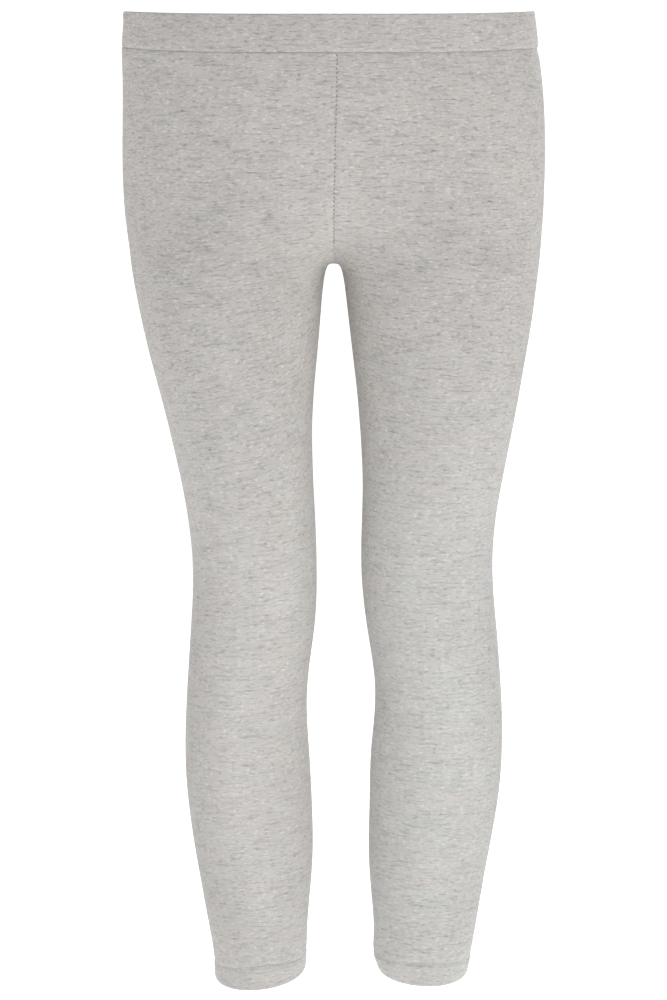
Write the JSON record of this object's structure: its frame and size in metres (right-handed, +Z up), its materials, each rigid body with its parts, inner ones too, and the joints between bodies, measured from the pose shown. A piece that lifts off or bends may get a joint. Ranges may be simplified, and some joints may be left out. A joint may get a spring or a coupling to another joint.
{
  "type": "leggings",
  "caption": "Ankle-cropped jersey leggings in worn shape: hollow legs joined on a centre seam, flat elasticated waistband, turned-up stitched hems.",
  "frame": {"origin": "centre of the waistband's ring, at half its height", "axes": "+Z up along the body, -Y towards the front, +X towards the wearer's left"},
  "size_m": [0.3555, 0.2275, 0.8317],
  "materials": {
    "leg_jersey_left": "light grey marl cotton jersey, matt, fine horizontal heather streaks",
    "leg_jersey_right": "light grey marl cotton jersey, matt, fine horizontal heather streaks",
    "waistband_jersey": "the same marl jersey, doubled over elastic, slightly denser"
  },
  "bodies": {
    "root": {"leg_panel_left": "leg_jersey_left", "leg_panel_right": "leg_jersey_right", "waistband": "waistband_jersey"}
  },
  "joints": []
}
